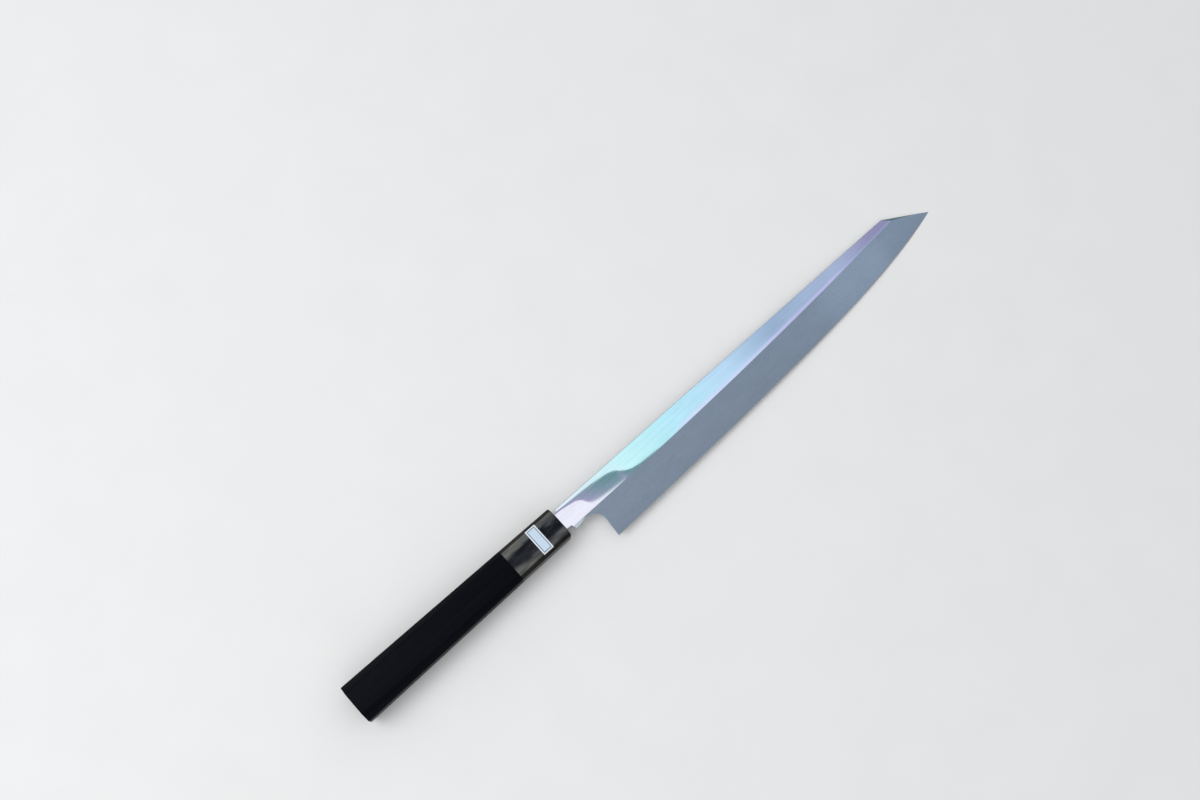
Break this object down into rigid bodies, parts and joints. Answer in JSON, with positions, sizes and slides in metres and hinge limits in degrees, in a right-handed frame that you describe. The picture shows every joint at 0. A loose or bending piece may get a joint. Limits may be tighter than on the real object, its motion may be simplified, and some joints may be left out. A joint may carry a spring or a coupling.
{
  "type": "yanagiba knife",
  "caption": "Single-bevel slicing knife: long slim blade with a clipped tip, choil and hollow-ground back, on an octagonal wooden handle with a horn ferrule.",
  "frame": {"origin": "centre of the ferrule's front face, on the handle's axis", "axes": "+X along the handle's axis to the tip, +Y to the spine, +Z out of the bevelled face"},
  "size_m": [0.4553, 0.0402, 0.021],
  "materials": {
    "blade_steel": "mirror-polished flat above a fine matte bevel",
    "horn": "polished grey-black marbled horn",
    "ebony": "satin, near black",
    "dowel_wood": "plain softwood",
    "resin": "dark brown resin",
    "label_paper": "thin off-white paper"
  },
  "bodies": {
    "root": {"blade": "blade_steel", "ferrule": "horn", "handle_body": "ebony", "core_dowel": "dowel_wood", "tang_bedding": "resin", "ferrule_label": "label_paper"}
  },
  "joints": []
}
